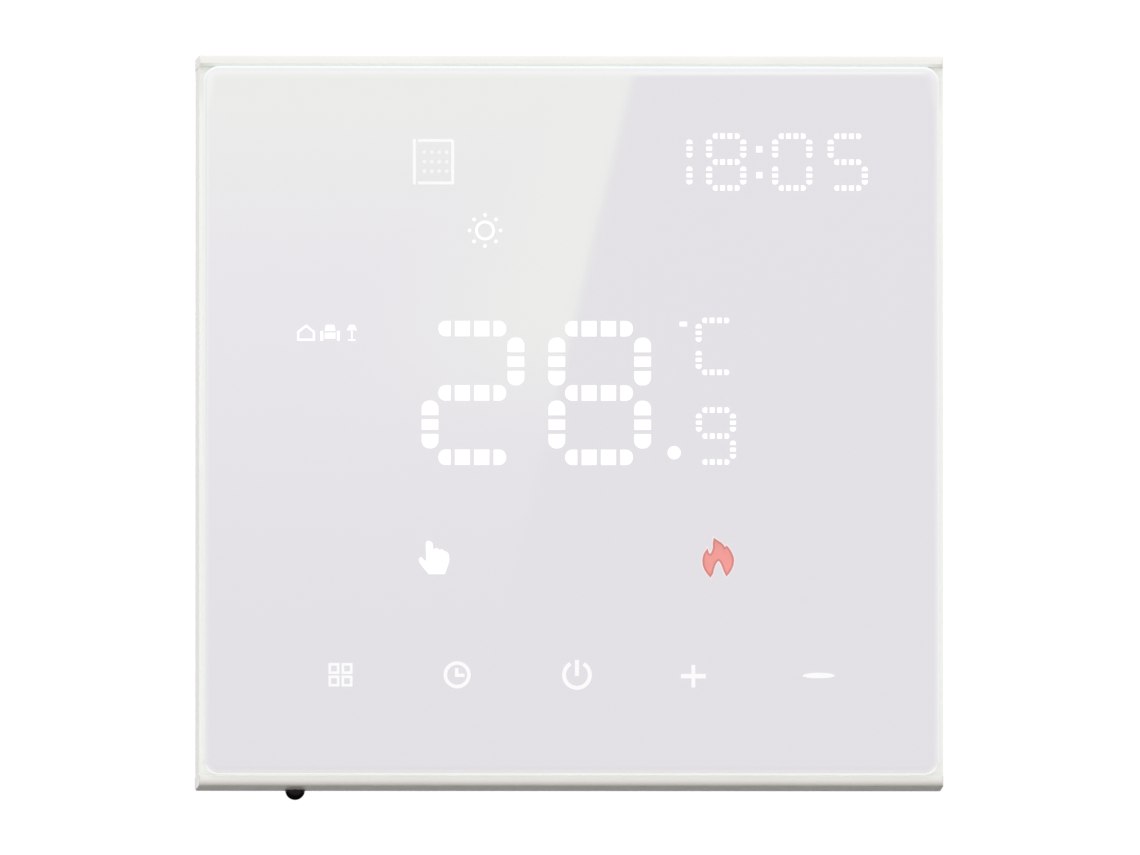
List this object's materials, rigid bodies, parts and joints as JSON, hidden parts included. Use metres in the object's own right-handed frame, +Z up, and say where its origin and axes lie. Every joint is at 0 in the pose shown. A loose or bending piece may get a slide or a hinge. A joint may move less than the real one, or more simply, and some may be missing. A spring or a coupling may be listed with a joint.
{
  "type": "wall thermostat",
  "caption": "Flush wall thermostat: square white glass touch panel on a pull-off front, over a screw-fixed power base with rising-clamp terminals.",
  "frame": {"origin": "centre of the panel in the plane of the finished wall", "axes": "+Z up, +Y into the wall box, +X to the right of a person facing the panel"},
  "size_m": [0.086, 0.041, 0.0855],
  "materials": {
    "white_glass": "polished, back-printed white, ground edge",
    "bezel_plastic": "satin moulded, warm white",
    "cover_plastic": "fine moulded",
    "housing_plastic": "fine moulded",
    "reflector_plastic": "moulded",
    "film": "printed film",
    "foam_tape": "foam",
    "circuit_board": "solder mask",
    "chip_epoxy": "moulded",
    "black_plastic": "moulded",
    "sensor_epoxy": "dipped",
    "spring_steel": "drawn wire",
    "tinned_wire": "tinned",
    "zinc_steel": "zinc plated sheet",
    "zinc_screw": "zinc plated",
    "brass": "bare",
    "terminal_plastic": "moulded",
    "relay_plastic": "moulded",
    "ferrite": "sintered",
    "winding_tape": "polyester tape",
    "copper": "enamelled winding",
    "can_aluminium": "drawn can",
    "sleeve": "shrink sleeve",
    "varistor_lacquer": "dipped",
    "fuse_plastic": "moulded",
    "cell_steel": "pressed can"
  },
  "bodies": {
    "power_base": {"mounting_plate": "zinc_steel", "rear_housing": "housing_plastic", "base_cover": "cover_plastic", "power_board": "circuit_board", "board_header": "black_plastic", "relay_base": "black_plastic", "relay_cover": "relay_plastic", "relay_yoke": "zinc_steel", "relay_coil": "copper", "relay_contact": "brass", "transformer_core": "ferrite", "transformer_winding": "winding_tape", "filter_capacitor": "sleeve", "output_capacitor": "sleeve", "varistor": "varistor_lacquer", "fuse": "fuse_plastic", "terminal_block": "terminal_plastic", "mount_screw_left": "zinc_screw", "mount_screw_right": "zinc_screw", "housing_screw_1": "zinc_screw", "housing_screw_2": "zinc_screw"},
    "front_panel": {"front_glass": "white_glass", "glass_adhesive": "foam_tape", "front_bezel": "bezel_plastic", "icon_film": "film", "display_reflector": "reflector_plastic", "display_board": "circuit_board", "touch_spring_menu": "spring_steel", "touch_spring_clock": "spring_steel", "touch_spring_power": "spring_steel", "touch_spring_plus": "spring_steel", "touch_spring_minus": "spring_steel", "main_controller": "chip_epoxy", "display_driver": "chip_epoxy", "touch_controller": "chip_epoxy", "clock_crystal": "can_aluminium", "backup_cell": "cell_steel", "buzzer": "black_plastic", "board_socket": "black_plastic", "air_sensor": "sensor_epoxy", "sensor_lead_1": "tinned_wire", "sensor_lead_2": "tinned_wire", "inner_cover": "cover_plastic", "inner_cover_screw_1": "zinc_screw", "inner_cover_screw_2": "zinc_screw", "inner_cover_screw_3": "zinc_screw", "inner_cover_screw_4": "zinc_screw"},
    "relay_armature": {"relay_armature": "zinc_steel"},
    "terminal_screw_1": {"terminal_screw_1": "zinc_screw"},
    "terminal_screw_2": {"terminal_screw_2": "zinc_screw"},
    "terminal_screw_3": {"terminal_screw_3": "zinc_screw"},
    "terminal_screw_4": {"terminal_screw_4": "zinc_screw"},
    "terminal_screw_5": {"terminal_screw_5": "zinc_screw"},
    "terminal_screw_6": {"terminal_screw_6": "zinc_screw"},
    "terminal_clamp_1": {"terminal_clamp_1": "brass"},
    "terminal_clamp_2": {"terminal_clamp_2": "brass"},
    "terminal_clamp_3": {"terminal_clamp_3": "brass"},
    "terminal_clamp_4": {"terminal_clamp_4": "brass"},
    "terminal_clamp_5": {"terminal_clamp_5": "brass"},
    "terminal_clamp_6": {"terminal_clamp_6": "brass"}
  },
  "joints": [
    {"name": "front_panel_pull_off", "type": "slide", "parent": "power_base", "child": "front_panel", "axis": [0, -1, 0], "range_m": [0, 0.03]},
    {"name": "relay_armature_pull_in", "type": "hinge", "parent": "power_base", "child": "relay_armature", "pos_m": [-0.0197, 0.0162, 0.014], "axis": [0, 0, -1], "range_deg": [0, 4.5], "stiffness_Nm_per_rad": 0.02, "springref_deg": -2.86},
    {"name": "terminal_screw_1_turn", "type": "hinge", "parent": "power_base", "child": "terminal_screw_1", "pos_m": [-0.01875, 0.014, -0.017], "axis": [0, -1, 0], "range_deg": [0, 1585]},
    {"name": "terminal_clamp_1_rise", "type": "slide", "parent": "power_base", "child": "terminal_clamp_1", "axis": [0, 1, 0], "range_m": [0, 0.0022]},
    {"name": "terminal_screw_2_turn", "type": "hinge", "parent": "power_base", "child": "terminal_screw_2", "pos_m": [-0.01125, 0.014, -0.017], "axis": [0, -1, 0], "range_deg": [0, 1585]},
    {"name": "terminal_clamp_2_rise", "type": "slide", "parent": "power_base", "child": "terminal_clamp_2", "axis": [0, 1, 0], "range_m": [0, 0.0022]},
    {"name": "terminal_screw_3_turn", "type": "hinge", "parent": "power_base", "child": "terminal_screw_3", "pos_m": [-0.00375, 0.014, -0.017], "axis": [0, -1, 0], "range_deg": [0, 1585]},
    {"name": "terminal_clamp_3_rise", "type": "slide", "parent": "power_base", "child": "terminal_clamp_3", "axis": [0, 1, 0], "range_m": [0, 0.0022]},
    {"name": "terminal_screw_4_turn", "type": "hinge", "parent": "power_base", "child": "terminal_screw_4", "pos_m": [0.00375, 0.014, -0.017], "axis": [0, -1, 0], "range_deg": [0, 1585]},
    {"name": "terminal_clamp_4_rise", "type": "slide", "parent": "power_base", "child": "terminal_clamp_4", "axis": [0, 1, 0], "range_m": [0, 0.0022]},
    {"name": "terminal_screw_5_turn", "type": "hinge", "parent": "power_base", "child": "terminal_screw_5", "pos_m": [0.01125, 0.014, -0.017], "axis": [0, -1, 0], "range_deg": [0, 1585]},
    {"name": "terminal_clamp_5_rise", "type": "slide", "parent": "power_base", "child": "terminal_clamp_5", "axis": [0, 1, 0], "range_m": [0, 0.0022]},
    {"name": "terminal_screw_6_turn", "type": "hinge", "parent": "power_base", "child": "terminal_screw_6", "pos_m": [0.01875, 0.014, -0.017], "axis": [0, -1, 0], "range_deg": [0, 1585]},
    {"name": "terminal_clamp_6_rise", "type": "slide", "parent": "power_base", "child": "terminal_clamp_6", "axis": [0, 1, 0], "range_m": [0, 0.0022]}
  ],
  "couplings": [
    {"joint": "terminal_screw_1_turn", "follows": "terminal_clamp_1_rise", "rad_per_m": 12566},
    {"joint": "terminal_screw_2_turn", "follows": "terminal_clamp_2_rise", "rad_per_m": 12566},
    {"joint": "terminal_screw_3_turn", "follows": "terminal_clamp_3_rise", "rad_per_m": 12566},
    {"joint": "terminal_screw_4_turn", "follows": "terminal_clamp_4_rise", "rad_per_m": 12566},
    {"joint": "terminal_screw_5_turn", "follows": "terminal_clamp_5_rise", "rad_per_m": 12566},
    {"joint": "terminal_screw_6_turn", "follows": "terminal_clamp_6_rise", "rad_per_m": 12566}
  ]
}
